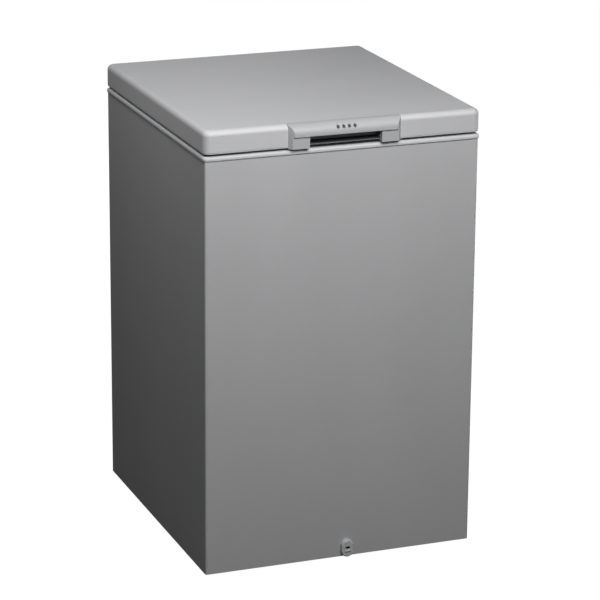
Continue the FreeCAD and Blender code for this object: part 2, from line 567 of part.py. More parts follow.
group("hinge_body_screws", [screw("plate_screw_%d" % n, (x, "wrap_back + 0.7", z), 2.3, 4, "y")
                            for n, (x, z) in enumerate(plate_spots, 1)])
leaf_spots = [(side + " %+d" % dx, "pin_z + 18.5") for name, side in hinge_sides for dx in (-22, 22)]
group("hinge_leaf_screws", [screw("leaf_screw_%d" % n, (x, "bead_back + 2", z), 2.8, 3.5, "y")
                            for n, (x, z) in enumerate(leaf_spots, 1)])


# ---- lid -------------------------------------------------------------------------------------------
def lid_solid(label, inset, low):
    corner = "lid_corner - %s" % inset
    plan = round_block(label + "_plan", ("-lid_half + %s" % inset, "lid_half - %s" % inset),
                       ("bead_front + %s" % inset, "bead_back - %s" % inset), (low, "lid_top - %s" % inset), corner)
    return rounded(label, plan, "lid_edge - %s" % inset, at_height(value("lid_top - %s" % inset)))


skin_outer = lid_solid("skin_outer", "0", "skin_low")
skin_inner = lid_solid("skin_inner", "steel", "skin_low - 5")
pocket_hole = block("pocket_hole", ("-grip_half", "grip_half"), ("bead_front - 1", "bead_front + 5"),
                    ("panel_high", "852"))
tongue_room = block("tongue_room", ("-handle_half", "handle_half"), ("bead_front - 1", "tongue_back"),
                    ("tongue_under", "lid_top + 1"))
skin_holes = [rod("skin_hole_%d" % n, "y", (x, "bead_back - 3", z), "2.05", "5") for n, (x, z) in enumerate(leaf_spots, 1)]
cut("lid_skin", skin_outer, skin_inner, pocket_hole, tongue_room, *skin_holes)

pan_span = ("-cavity_half + 8", "cavity_half - 8")
pan_run = ("cavity_front + 8", "cavity_back - 8")
pan_hollow = ("-cavity_half + 9.5", "cavity_half - 9.5"), ("cavity_front + 9.5", "cavity_back - 9.5")
foam_shell = lid_solid("lid_foam_shell", "steel", "panel_high")
foam_plug = round_block("lid_foam_plug", pan_hollow[0], pan_hollow[1], ("813", "panel_high"), "23.5")
foam_pocket = block("lid_foam_pocket", ("-grip_half", "grip_half"), ("bead_front - 1", "bead_front + 24"),
                    ("panel_high", "852"))
screw_room = [rod("screw_room_%d" % n, "y", (x, "bead_back - 3", z), "2.1", "5") for n, (x, z) in enumerate(leaf_spots, 1)]
cut("lid_foam", fuse("lid_foam_block", foam_shell, foam_plug), foam_pocket, tongue_room, *screw_room)
pocket_block = block("pocket_block", ("-grip_half", "grip_half"), ("bead_front", "bead_front + 24"),
                     ("panel_high", "852"))
pocket_space = block("pocket_space", ("-grip_half + 1.2", "grip_half - 1.2"), ("bead_front - 1", "bead_front + 22.8"),
                     ("panel_high + 1.2", "850.8"))
cut("handle_pocket", pocket_block, pocket_space)

panel_flat = round_block("panel_flat", ("-lid_half + steel", "lid_half - steel"),
                         ("bead_front + steel", "bead_back - steel"), ("skin_low", "panel_high"), "lid_corner - steel")
panel_pan = round_block("panel_pan", pan_span, pan_run, ("811.5", "skin_low + 0.5"), "25")
panel_space = round_block("panel_space", pan_hollow[0], pan_hollow[1], ("813", "panel_high + 1"), "23.5")
cut("lid_inner_panel", fuse("panel_sheet", panel_flat, panel_pan), panel_space)
frame_ring = round_block("frame_ring", ("-lid_half + 0.5", "lid_half - 0.5"), ("bead_front + 0.5", "bead_back - 0.5"),
                         ("lid_low", "skin_low"), "lid_corner - 0.5")
ring_mouth = round_block("ring_mouth", pan_span, pan_run, ("lid_low - 1", "skin_low + 1"), "25")
finger_notch = block("finger_notch", ("-grip_half", "grip_half"), ("bead_front - 1", "bead_front + 12"),
                     ("lid_low - 1", "skin_low + 1"))
cut("lid_frame", frame_ring, ring_mouth, finger_notch)
seal_outer = round_block("seal_outer", ("-256", "256"), ("bead_front + 14", "bead_back - 14"),
                         ("bead_high + 0.3", "lid_low"), "16")
seal_inner = round_block("seal_inner", ("-242", "242"), ("bead_front + 28", "bead_back - 28"),
                         ("bead_high - 1", "lid_low + 1"), "6")
cut("lid_gasket", seal_outer, seal_inner)

# handle: curved fascia over two legs, hollow behind for the fingers, with a tongue let into the lid's top
def grip_profile(extra):
    arc = []
    for angle in range(90, -1, -15):
        out, up = math.sin(math.radians(angle)), math.cos(math.radians(angle))
        arc.append(("bead_front + 8 - (handle_reach + 8 + %s) * %.4f" % (extra, out),
                    "fascia_low + (fascia_rise + %s) * %.4f" % (extra, up)))
    return [("bead_front", "leg_low"), ("leg_front", "leg_low"), ("leg_front", "fascia_low - 2"),
            ("bead_front - handle_reach + 1.5", "fascia_low - 1.5")] + arc + [
            ("tongue_back", "fascia_low + fascia_rise"), ("tongue_back", "tongue_under"), ("bead_front + 8", "850"),
            ("bead_front", "850")]


handle_side = prism("handle_side", "YZ_Plane", grip_profile("0"), "-handle_half", "2 * handle_half")
plan_profile = [("-handle_half", "tongue_back + 1"), ("-handle_half", "bead_front"),
                ("-handle_nose", "bead_front - handle_reach"), ("-handle_nose", "-320"), ("handle_nose", "-320"),
                ("handle_nose", "bead_front - handle_reach"), ("handle_half", "bead_front"),
                ("handle_half", "tongue_back + 1")]
handle_plan = prism("handle_plan", "XY_Plane", plan_profile, "810", "60")
handle_block = common("handle_block", handle_side, handle_plan)
skin_copy = lid_solid("skin_clearance", "0", "skin_low - 10")
lid_room = cut("lid_room", skin_copy, tongue_room)
grip_hollow = block("grip_hollow", ("-grip_half", "grip_half"), ("bead_front - handle_reach + 3", "bead_front + 1"),
                    ("817", "850"))
grip_mouth = block("grip_mouth", ("-grip_half", "grip_half"), ("bead_front - handle_reach - 2", "bead_front + 1"),
                   ("817", "fascia_low - 1.6"))
cut("lid_handle", handle_block, fuse("handle_spaces", lid_room, grip_hollow, grip_mouth))
stars = []
for n in range(4):
    middle = (n - 1.5) * 11
    star = []
    for tip_number in range(12):
        reach = 4.2 if tip_number % 2 == 0 else 2.3
        angle = math.radians(90 + 30 * tip_number)
        star.append(("%.4f" % (middle + reach * math.cos(angle)), "%.4f" % (856 + reach * math.sin(angle))))
    stars.append(prism("star_%d" % (n + 1), "XZ_Plane", star, "-bead_front", "25"))
badge_layer = prism("badge_layer", "YZ_Plane", grip_profile("badge_thick"), "-handle_half", "2 * handle_half")
cut("star_badge", common("badge_stars", group("star_rods", stars), badge_layer), handle_side)

# ---- wire basket hanging on the top frame -------------------------------------------------------------
wire_radius = value("wire")
low_wire = value("basket_low")
rim = value("basket_rim")
half = value("basket_half")
front_wire = value("cavity_front + 11")
rear_wire = value("cavity_back - 11")
V = FreeCAD.Vector
strands = []
for n in range(7):
    x = (n - 3) * (half - 10) / 3
    strands.append(pipe_shape([V(x, front_wire, rim), V(x, front_wire, low_wire), V(x, rear_wire, low_wire),
                               V(x, rear_wire, rim)], 20, wire_radius))
for n in range(10):
    y = front_wire + 22 + n * (rear_wire - front_wire - 44) / 9
    strands.append(pipe_shape([V(-half, y, rim), V(-half, y, low_wire - 3.5), V(half, y, low_wire - 3.5),
                               V(half, y, rim)], 16, wire_radius))
for level in (rim, rim - 55, rim - 110):
    side = half + 3.4
    near_y, far_y = front_wire - 3.4, rear_wire + 3.4
    strands.append(pipe_shape([V(0, near_y, level), V(side, near_y, level), V(side, far_y, level),
                               V(-side, far_y, level), V(-side, near_y, level), V(0, near_y, level)], 14, wire_radius))
over = value("bead_high") + 0.3 + wire_radius
for down, away in ((front_wire - 6.8, front_wire - 33), (rear_wire + 6.8, rear_wire + 33)):
    strands.append(pipe_shape([V(-60, down, rim - 12), V(-60, down, over), V(-60, away, over), V(60, away, over),
                               V(60, down, over), V(60, down, rim - 12)], 5, wire_radius))
basket = made("Part::Feature", "basket")
basket.Shape = strands[0].multiFuse(strands[1:])

# ---- check and export ------------------------------------------------------------------------------------
NODES = """
cabinet_wrap rear_panel base_panel bay_liner cabinet_foam inner_liner top_frame evaporator_coil levelling_feet
compressor_tray compressor_shell compressor_grommets compressor_bolts terminal_cover suction_pipe discharge_pipe
filter_drier capillary_tube condenser_tube condenser_wires condenser_brackets wall_spacers bay_rear_cover
cover_screws cord_gland side_grille control_panel lamp_green lamp_amber lamp_red thermostat_body drain_tube
drain_spout left_hinge_body right_hinge_body hinge_pins hinge_guides hinge_springs hinge_body_screws lid_skin
lid_foam lid_inner_panel lid_frame lid_gasket lid_handle handle_pocket star_badge left_hinge_leaf
right_hinge_leaf hinge_leaf_screws hinge_plungers thermostat_knob drain_plug basket
""".split()

doc.recompute()
for item in doc.Objects:
    states = [state for state in item.State if "Invalid" in state or "Error" in state]
    if states:
        raise RuntimeError("%s did not recompute: %s" % (item.Label, states))
for node in NODES:
    shape = doc.getObject(node).Shape
    if shape.isNull() or not shape.isValid() or not shape.Solids:
        raise RuntimeError("%s has no sound shape" % node)
    shape.exportStep("parts/%s.step" % node)
    print("%-22s solids %2d  volume %12.0f" % (node, len(shape.Solids), shape.Volume))
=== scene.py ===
import bmesh
import bpy
import json
import math
from mathutils import Matrix, Vector

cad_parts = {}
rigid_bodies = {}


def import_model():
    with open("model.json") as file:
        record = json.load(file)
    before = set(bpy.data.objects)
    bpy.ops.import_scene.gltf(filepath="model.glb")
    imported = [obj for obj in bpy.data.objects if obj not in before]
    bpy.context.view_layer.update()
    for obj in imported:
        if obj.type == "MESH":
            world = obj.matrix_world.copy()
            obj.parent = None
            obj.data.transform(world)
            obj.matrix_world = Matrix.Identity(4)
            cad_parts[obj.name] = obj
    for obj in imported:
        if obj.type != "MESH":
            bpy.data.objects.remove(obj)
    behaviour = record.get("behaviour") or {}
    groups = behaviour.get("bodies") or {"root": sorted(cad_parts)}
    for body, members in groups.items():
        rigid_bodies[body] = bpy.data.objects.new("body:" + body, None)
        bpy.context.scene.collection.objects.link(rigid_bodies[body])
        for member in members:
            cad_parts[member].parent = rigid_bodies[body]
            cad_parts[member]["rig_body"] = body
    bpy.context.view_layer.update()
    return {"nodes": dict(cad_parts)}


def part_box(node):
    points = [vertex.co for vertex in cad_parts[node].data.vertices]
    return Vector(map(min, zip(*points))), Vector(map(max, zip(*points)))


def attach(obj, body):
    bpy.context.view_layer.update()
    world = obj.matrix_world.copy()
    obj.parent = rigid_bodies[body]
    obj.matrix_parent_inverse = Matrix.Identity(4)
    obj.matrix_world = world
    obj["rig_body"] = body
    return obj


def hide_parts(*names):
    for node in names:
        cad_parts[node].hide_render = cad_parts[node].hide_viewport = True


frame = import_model()
MM = 0.001

# ---- studio ------------------------------------------------------------------------------------
# The camera stands off the freezer's left front corner, a little above the lid, with a long lens.
# A big softbox hangs in front and above and small ones fill the lid's top and sides. The floor is dark
# paper that only the camera sees as white, so that little light comes back up from it.
turn, tilt, roll = math.radians(21.07), math.radians(17.4), math.radians(0.47)
facing = Matrix.Rotation(-turn, 4, "Z") @ Matrix.Rotation(math.pi / 2 - tilt, 4, "X")
right, up, back = (facing.col[n].to_3d() for n in range(3))
stand = Vector((0, 0, 0.430)) + 0.029 * right + 0.005 * up + 5.515 * back
clear_view = Matrix.Translation(stand) @ facing @ Matrix.Rotation(roll, 4, "Z")
bpy.ops.object.camera_add()
camera = bpy.context.object
camera.matrix_world = clear_view
camera.data.sensor_width = 36
camera.data.lens = 169.6
camera.data.clip_end = 60
bpy.context.scene.camera = camera
bpy.context.scene.view_settings.view_transform = "Standard"


def softbox(name, place, target, width, height, power):
    bpy.ops.object.light_add(type="AREA", location=place)
    lamp = bpy.context.object
    lamp.name = name
    lamp.data.shape = "RECTANGLE"
    lamp.data.size = width
    lamp.data.size_y = height
    lamp.data.energy = power
    lamp.rotation_euler = (Vector(target) - Vector(place)).to_track_quat("-Z", "Y").to_euler()


softbox("front_softbox", (-0.1, -1.6, 2.0), (0, -0.3, 0.7), 1.4, 0.7, 52)
softbox("top_softbox", (-0.9, 0.3, 2.2), (0, 0, 0.86), 0.9, 0.9, 11)
softbox("low_softbox", (0.0, -1.3, 0.92), (0, -0.3, 0.85), 1.0, 0.2, 1.0)
softbox("left_softbox", (-0.75, -0.1, 1.3), (-0.27, -0.1, 0.85), 0.3, 0.6, 1.3)
softbox("sheen_softbox", (0.41, 1.35, 1.3), (0, 0.1, 0.86), 0.3, 0.5, 0.42)
softbox("rear_softbox", (0.8, 2.8, 0.42), (0, 0.3, 0.42), 1.2, 0.7, 16)
softbox("right_softbox", (3.0, 0.3, 0.42), (0.2, 0, 0.42), 1.2, 0.7, 20)

world = bpy.data.worlds.new("studio_air")
bpy.context.scene.world = world
world.use_nodes = True
air = world.node_tree
air.nodes.clear()
seen = air.nodes.new("ShaderNodeBackground")
seen.inputs["Strength"].default_value = 1.0
seen.inputs["Color"].default_value = (1, 1, 1, 1)
glow = air.nodes.new("ShaderNodeBackground")
glow.inputs["Color"].default_value = (0.9, 0.95, 1.0, 1)
glow.inputs["Strength"].default_value = 0.025
ray = air.nodes.new("ShaderNodeLightPath")
choice = air.nodes.new("ShaderNodeMixShader")
exit_node = air.nodes.new("ShaderNodeOutputWorld")
air.links.new(ray.outputs["Is Camera Ray"], choice.inputs["Fac"])
air.links.new(glow.outputs[0], choice.inputs[1])
air.links.new(seen.outputs[0], choice.inputs[2])
air.links.new(choice.outputs[0], exit_node.inputs["Surface"])

bpy.ops.object.select_all(action="DESELECT")
bpy.ops.mesh.primitive_plane_add(size=30, location=(0, 0, 0))
floor = bpy.context.object
floor.name = "studio_floor"
floor_paper = bpy.data.materials.new("floor_paper")
floor_paper.use_nodes = True
floor.data.materials.append(floor_paper)
paper = floor_paper.node_tree
paper_shader = paper.nodes["Principled BSDF"]
paper_shader.inputs["Base Color"].default_value = (0.05, 0.05, 0.05, 1)
paper_shader.inputs["Roughness"].default_value = 0.9
paper_shader.inputs["Specular IOR Level"].default_value = 0.1
paper_shader.inputs["Emission Color"].default_value = (1, 1, 1, 1)
paper_ray = paper.nodes.new("ShaderNodeLightPath")
paper.links.new(paper_ray.outputs["Is Camera Ray"], paper_shader.inputs["Emission Strength"])


# ---- cabinet wrap --------------------------------------------------------------------------------
# One sheet of painted steel bent round the front and both sides, with narrow flanges at the back.
# It is painted silver-grey with fine metal flake, and has openings low on the right side.
def node_group(name, inputs, outputs):
    group = bpy.data.node_groups.new(name, "ShaderNodeTree")
    for label, kind, value in inputs:
        socket = group.interface.new_socket(label, in_out="INPUT", socket_type=kind)
        if value is not None:
            socket.default_value = value
    for label, kind in outputs:
        group.interface.new_socket(label, in_out="OUTPUT", socket_type=kind)
    return group, group.nodes.new("NodeGroupInput"), group.nodes.new("NodeGroupOutput")


def grain_group():
    # fine grain: two octave sizes of noise, as a height and as a mask round one half
    group, enter, leave = node_group(
        "fine_grain",
        (("Vector", "NodeSocketVector", None), ("Scale", "NodeSocketFloat", 400.0),
         ("Coarse", "NodeSocketFloat", 0.1)),
        (("Height", "NodeSocketFloat"), ("Mask", "NodeSocketFloat")))
    fine = group.nodes.new("ShaderNodeTexNoise")
    fine.inputs["Detail"].default_value = 3
    coarse = group.nodes.new("ShaderNodeTexNoise")
    coarse.inputs["Detail"].default_value = 4
    reach = group.nodes.new("ShaderNodeMath")
    reach.operation = "MULTIPLY"
    group.links.new(enter.outputs["Scale"], reach.inputs[0])
    group.links.new(enter.outputs["Coarse"], reach.inputs[1])
    group.links.new(enter.outputs["Vector"], fine.inputs["Vector"])
    group.links.new(enter.outputs["Vector"], coarse.inputs["Vector"])
    group.links.new(enter.outputs["Scale"], fine.inputs["Scale"])
    group.links.new(reach.outputs[0], coarse.inputs["Scale"])
    group.links.new(fine.outputs["Fac"], leave.inputs["Height"])
    group.links.new(coarse.outputs["Fac"], leave.inputs["Mask"])
    return group


def film_group():
    # handling film: broad soft patches, stretched by the three stretch numbers
    group, enter, leave = node_group(
        "handling_film",
        (("Vector", "NodeSocketVector", None), ("Stretch", "NodeSocketVector", (6.0, 6.0, 6.0))),
        (("Patch", "NodeSocketFloat"),))
    stretch = group.nodes.new("ShaderNodeVectorMath")
    stretch.operation = "MULTIPLY"
    cloud = group.nodes.new("ShaderNodeTexNoise")
    cloud.inputs["Scale"].default_value = 1
    cloud.inputs["Detail"].default_value = 2
    group.links.new(enter.outputs["Vector"], stretch.inputs[0])
    group.links.new(enter.outputs["Stretch"], stretch.inputs[1])
    group.links.new(stretch.outputs[0], cloud.inputs["Vector"])
    group.links.new(cloud.outputs["Fac"], leave.inputs["Patch"])
    return group


FINE_GRAIN = grain_group()
HANDLING_FILM = film_group()


def finish(name, colour, roughness, metallic=0.0, grain=600.0, depth=0.02, shade=0.06, sheen_change=0.06,
           stretch=(6.0, 6.0, 6.0), coat=0.0, specular=0.5):
    # a surface finish: colour shaded by grain and film, roughness by film, and a fine bump
    material = bpy.data.materials.new(name)
    material.use_nodes = True
    tree = material.node_tree
    shader = tree.nodes["Principled BSDF"]
    shader.inputs["Metallic"].default_value = metallic
    shader.inputs["Coat Weight"].default_value = coat
    shader.inputs["Coat Roughness"].default_value = 0.38
    shader.inputs["Specular IOR Level"].default_value = specular
    place = tree.nodes.new("ShaderNodeTexCoord")
    grains = tree.nodes.new("ShaderNodeGroup")
    grains.node_tree = FINE_GRAIN
    grains.name = "grain"
    grains.inputs["Scale"].default_value = grain
    film = tree.nodes.new("ShaderNodeGroup")
    film.node_tree = HANDLING_FILM
    film.inputs["Stretch"].default_value = stretch
    tree.links.new(place.outputs["Object"], grains.inputs["Vector"])
    tree.links.new(place.outputs["Object"], film.inputs["Vector"])
    both = tree.nodes.new("ShaderNodeMath")
    both.operation = "ADD"
    tree.links.new(grains.outputs["Mask"], both.inputs[0])
    tree.links.new(film.outputs["Patch"], both.inputs[1])
    tone = tree.nodes.new("ShaderNodeMapRange")
    tone.name = "tone"
    tone.inputs["From Min"].default_value = 0.6
    tone.inputs["From Max"].default_value = 1.4
    tree.links.new(both.outputs[0], tone.inputs["Value"])
    blend = tree.nodes.new("ShaderNodeMix")
    blend.name = "shades"
    blend.data_type = "RGBA"
    blend.inputs["A"].default_value = [c * (1 - shade) for c in colour] + [1]
    blend.inputs["B"].default_value = [min(1, c * (1 + shade)) for c in colour] + [1]
    tree.links.new(tone.outputs[0], blend.inputs["Factor"])
    tree.links.new(blend.outputs["Result"], shader.inputs["Base Color"])
    polish = tree.nodes.new("ShaderNodeMapRange")
    polish.inputs["From Min"].default_value = 0.3
    polish.inputs["From Max"].default_value = 0.7
    polish.inputs["To Min"].default_value = max(0.03, roughness - sheen_change)
    polish.inputs["To Max"].default_value = min(1.0, roughness + sheen_change)
    tree.links.new(film.outputs["Patch"], polish.inputs["Value"])
    tree.links.new(polish.outputs[0], shader.inputs["Roughness"])
    bump = tree.nodes.new("ShaderNodeBump")
    bump.name = "relief"
    bump.inputs["Strength"].default_value = 0.35
    bump.inputs["Distance"].default_value = depth * MM
    tree.links.new(grains.outputs["Height"], bump.inputs["Height"])
    tree.links.new(bump.outputs[0], shader.inputs["Normal"])
    return material


def deselect():
    bpy.ops.object.select_all(action="DESELECT")


def select_only(piece):
    deselect()
    bpy.context.view_layer.objects.active = piece
    piece.select_set(True)


def block(name, low, high):
    # a box between two corners, in millimetres, with its place in its mesh
    low, high = Vector(low) * MM, Vector(high) * MM
    deselect()
    bpy.ops.mesh.primitive_cube_add(size=1, location=(low + high) / 2, scale=high - low)
    piece = bpy.context.object
    piece.name = name
    piece.data.name = name
    bpy.ops.object.transform_apply(location=True, rotation=True, scale=True)
    return piece


def pick(piece, kind, wanted):
    # edit mode on the piece with the wanted edges or faces selected
    select_only(piece)
    bpy.ops.object.mode_set(mode="EDIT")
    bpy.ops.mesh.select_mode(type=kind)
    bpy.ops.mesh.select_all(action="DESELECT")
    mesh = bmesh.from_edit_mesh(piece.data)
    for part in (mesh.edges if kind == "EDGE" else mesh.faces):
        if wanted(part):
            part.select_set(True)
    bmesh.update_edit_mesh(piece.data)


def leave_edit():
    bpy.ops.object.mode_set(mode="OBJECT")


def upright(edge):
    a, b = (vertex.co for vertex in edge.verts)
    return abs(a.z - b.z) > 0.9 * (a - b).length


def rim(level):
    return lambda edge: all(abs(vertex.co.z - level * MM) < 0.00005 for vertex in edge.verts)


def bevel(piece, wanted, radius, steps):
    pick(piece, "EDGE", wanted)
    bpy.ops.mesh.bevel(offset=radius * MM, segments=steps, profile=0.5, affect="EDGES", clamp_overlap=False)
    bpy.ops.mesh.remove_doubles(threshold=0.00001)
    leave_edit()


def delete_faces(piece, wanted):
    pick(piece, "FACE", wanted)
    bpy.ops.mesh.delete(type="FACE")
    leave_edit()


def modify(piece, kind, **settings):
    select_only(piece)
    step = piece.modifiers.new(kind.lower(), kind)
    for key, value in settings.items():
        setattr(step, key, value)
    bpy.ops.object.modifier_apply(modifier=step.name)


def joined(pieces):
    # several loose pieces as one object, under the first one's name
    deselect()
    for piece in pieces:
        piece.select_set(True)
    bpy.context.view_layer.objects.active = pieces[0]
    bpy.ops.object.join()
    return pieces[0]


def carve(piece, cutter):
    # cutters run a few millimetres past the faces that they open
    modify(piece, "BOOLEAN", operation="DIFFERENCE", object=cutter, solver="EXACT")
    bpy.data.objects.remove(cutter)


def soften(piece, angle=32, flat_faces=True):
    select_only(piece)
    bpy.ops.object.shade_smooth_by_angle(angle=math.radians(angle))
    if flat_faces:
        # wide flat faces keep their own direction, and only the rounded edges blend
        modify(piece, "WEIGHTED_NORMAL", keep_sharp=True, weight=100)


def fit(piece, body, material, slot, *nodes):
    # hand the finished piece to its body, in place of its plain nodes
    piece.data.materials.clear()
    piece.data.materials.append(material)
    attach(piece, body)
    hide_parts(*nodes)


def edges_of(node):
    low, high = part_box(node)
    return low / MM, high / MM


def silver_paint(name, streak, roughness):
    # silver-grey paint: metal flake under a thin clear coat, with faint cloudy patches
    return finish(name, (0.43, 0.4305, 0.438), roughness, metallic=0.30, grain=1500, depth=0.012, shade=0.02,
                  sheen_change=0.015, stretch=streak, coat=0.07, specular=0.5)


STEEL = 0.8
OPENING_RIM = 4
cabinet_paint = silver_paint("cabinet_silver_paint", (9.0, 9.0, 3.0), 0.46)
wrap_low, wrap_high = edges_of("cabinet_wrap")
wrap = block("cabinet_sheet", wrap_low, wrap_high)
bevel(wrap, upright, 4, 6)
delete_faces(wrap, lambda face: abs(face.normal.z) > 0.9)
modify(wrap, "SOLIDIFY", thickness=STEEL * MM, offset=-1)
FLANGE = 14
carve(wrap, block("rear_opening", (wrap_low.x + FLANGE, wrap_high.y - 5, wrap_low.z - 5),
                  (wrap_high.x - FLANGE, wrap_high.y + 5, wrap_high.z + 5)))
for opening in ("side_grille", "control_panel"):
    low, high = edges_of(opening)
    carve(wrap, block("side_opening", (wrap_high.x - 5, low.y + OPENING_RIM, low.z + OPENING_RIM),
                      (wrap_high.x + 5, high.y - OPENING_RIM, high.z - OPENING_RIM)))
spout_low, spout_high = edges_of("drain_spout")
spout_x = (spout_low.x + spout_high.x) / 2
carve(wrap, block("drain_opening", (spout_x - 6, wrap_low.y - 3, 24), (spout_x + 6, wrap_low.y + 4, 36)))
soften(wrap)
fit(wrap, "cabinet", cabinet_paint, "silver_paint", "cabinet_wrap")

# ---- lid skin --------------------------------------------------------------------------------------
# A shallow pan of the same painted steel, drawn in one piece with rounded corners and a soft top edge.
# The front has a window behind the grip, where the dark finger pocket is set in, and the top a notch
# that takes the grip's tongue.
lid_paint = silver_paint("lid_silver_paint", (1.2, 14.0, 14.0), 0.68)
lid_low, lid_high = edges_of("lid_skin")
pocket_low, pocket_high = edges_of("handle_pocket")


def lid_body(name, low_z):
    body = block(name, (lid_low.x, lid_low.y, low_z), lid_high)
    bevel(body, upright, 13, 10)
    bevel(body, rim(lid_high.z), 11, 8)
    return body


skin = lid_body("lid_shell", lid_low.z)
delete_faces(skin, lambda face: face.normal.z < -0.9)
modify(skin, "SOLIDIFY", thickness=STEEL * MM, offset=-1)
carve(skin, block("pocket_window", (pocket_low.x, lid_low.y - 5, lid_low.z - 5),
                  (pocket_high.x, lid_low.y + 5, pocket_high.z)))
grip_low, grip_high = edges_of("lid_handle")
TONGUE_UNDER = 862.4
carve(skin, block("tongue_notch", (grip_low.x, lid_low.y - 5, TONGUE_UNDER),
                  (grip_high.x, grip_high.y, lid_high.z + 5)))
soften(skin)
fit(skin, "lid", lid_paint, "silver_paint", "lid_skin")

# ---- lid frame -------------------------------------------------------------------------------------
# A plastic ring closes the lid's lower edge and shows as a thin lip, a shade darker than the paint.
# It carries the gasket, and the pan of the inner lining comes up through its middle.
FINGER_NOTCH = 11.5
trim_plastic = finish("trim_plastic", (0.39, 0.395, 0.40), 0.50, grain=2600, depth=0.02, shade=0.03)
lip_plastic = finish("lip_plastic", (0.36, 0.365, 0.37), 0.5, grain=2600, depth=0.02, shade=0.04)
lip_low, lip_high = edges_of("lid_frame")
lip = block("lid_lip", lip_low, lip_high)
bevel(lip, upright, 12.5, 10)
bevel(lip, rim(lip_low.z), 0.9, 3)
lip_mouth = block("lip_mouth", (-200, -228, lip_low.z - 5), (200, 218, lip_high.z + 5))
bevel(lip_mouth, upright, 25, 8)
carve(lip, lip_mouth)
carve(lip, block("finger_notch", (pocket_low.x, lip_low.y - 5, lip_low.z - 5),
                 (pocket_high.x, lip_low.y + FINGER_NOTCH, lip_high.z + 5)))
soften(lip)
fit(lip, "lid", lip_plastic, "trim_grey", "lid_frame")

# ---- top frame -------------------------------------------------------------------------------------
# A light grey plastic frame caps the walls. Its rounded edge stands just proud of the painted sheet
# and its flat runs in to the food space, where the liner meets it.
frame_low, frame_high = edges_of("top_frame")
bead = block("top_bead", frame_low, frame_high)
bevel(bead, upright, 9, 8)
bevel(bead, rim(frame_high.z), 4.5, 6)
bevel(bead, rim(frame_low.z), 1.8, 4)
mouth = block("frame_mouth", (-208, -236, frame_low.z - 5), (208, 226, frame_high.z + 5))
bevel(mouth, upright, 30, 10)
carve(bead, mouth)
carve(bead, block("frame_channel", (frame_low.x + 8.5, frame_low.y + 8.5, frame_low.z - 1),
                  (frame_high.x - 8.5, frame_high.y - 8.5, frame_high.z - 3)))
soften(bead)
fit(bead, "cabinet", trim_plastic, "trim_grey", "top_frame")

# ---- grip ------------------------------------------------------------------------------------------
# A moulded grip: a convex fascia that runs out of the lid's front edge, on two short legs set back
# from its lower edge. The fingers go under it into a dark textured pocket in the lid.
grip_plastic = finish("grip_plastic", (0.295, 0.30, 0.305), 0.50, grain=3000, depth=0.012, shade=0.02, coat=0.05)
FASCIA_LOW = 842.5
FASCIA_ROUND = 18.5
FASCIA_WALL = 2.5
POCKET_CEILING = 850
LEG_FACE = -307.5
CHEEK_START = -300
CHEEK_TURN = math.radians(42)
grip = block("grip", grip_low, grip_high)


def front_top(edge):
    return all(v.co.y < grip_low.y * MM + 0.0001 and v.co.z > grip_high.z * MM - 0.0001 for v in edge.verts)


bevel(grip, front_top, FASCIA_ROUND, 14)
for side in (-1, 1):
    low_x, high_x = sorted((0, side * 60))
    cheek = block("cheek", (low_x, -40, 800), (high_x, 20, 880))
    cheek_corner = Matrix.Translation((side * grip_high.x * MM, CHEEK_START * MM, 0))
    cheek.matrix_world = cheek_corner @ Matrix.Rotation(-side * CHEEK_TURN, 4, "Z")
    carve(grip, cheek)
carve(grip, block("under_fascia", (pocket_low.x, grip_low.y - 5, grip_low.z - 5),
                  (pocket_high.x, grip_high.y + 5, FASCIA_LOW)))
for side in (-1, 1):
    low_x, high_x = sorted((side * (pocket_high.x - 1), side * (grip_high.x + 5)))
    carve(grip, block("leg_face", (low_x, grip_low.y - 5, grip_low.z - 5), (high_x, LEG_FACE, FASCIA_LOW - 0.3)))
modify(grip, "BEVEL", width=0.9 * MM, segments=3, limit_method="ANGLE", angle_limit=math.radians(40))
carve(grip, block("behind_fascia", (pocket_low.x, grip_low.y + FASCIA_WALL, FASCIA_LOW - 5),
                  (pocket_high.x, lid_low.y + 1, POCKET_CEILING)))
lid_room = lid_body("lid_room", grip_low.z - 5)
carve(lid_room, block("tongue_room", (grip_low.x - 1, lid_low.y - 5, TONGUE_UNDER),
                      (grip_high.x + 1, grip_high.y, lid_high.z + 5)))
carve(grip, lid_room)
soften(grip, 40)
fit(grip, "lid", grip_plastic, "handle_grey", "lid_handle")

# The pocket's floor is painted near black, by height, as painted shade under the fascia, and its wall keeps the
# plastic's grey.
pocket_plastic = finish("pocket_plastic", (0.20, 0.20, 0.205), 0.55, grain=900, depth=0.06, shade=0)
tree = pocket_plastic.node_tree
place = tree.nodes["Texture Coordinate"]
height = tree.nodes.new("ShaderNodeSeparateXYZ")
painted_floor_shade_mask = tree.nodes.new("ShaderNodeMapRange")
painted_floor_shade_mask.inputs["From Min"].default_value = (pocket_low.z + 1) * MM
painted_floor_shade_mask.inputs["From Max"].default_value = (pocket_low.z + 3) * MM
tree.links.new(place.outputs["Object"], height.inputs[0])
tree.links.new(height.outputs["Z"], painted_floor_shade_mask.inputs["Value"])
tree.links.new(painted_floor_shade_mask.outputs[0], tree.nodes["shades"].inputs["Factor"])
# painted shade: the near-black colour given to the pocket's floor
tree.nodes["shades"].inputs["A"].default_value = (0.03, 0.03, 0.032, 1)
pocket = block("finger_pocket", pocket_low, pocket_high)
bevel(pocket, lambda edge: min(v.co.y for v in edge.verts) > pocket_high.y * MM - 0.0001, 4, 5)
delete_faces(pocket, lambda face: face.normal.y < -0.9)
modify(pocket, "SOLIDIFY", thickness=1.2 * MM, offset=-1)
soften(pocket)
fit(pocket, "lid", pocket_plastic, "dark_plastic", "handle_pocket")

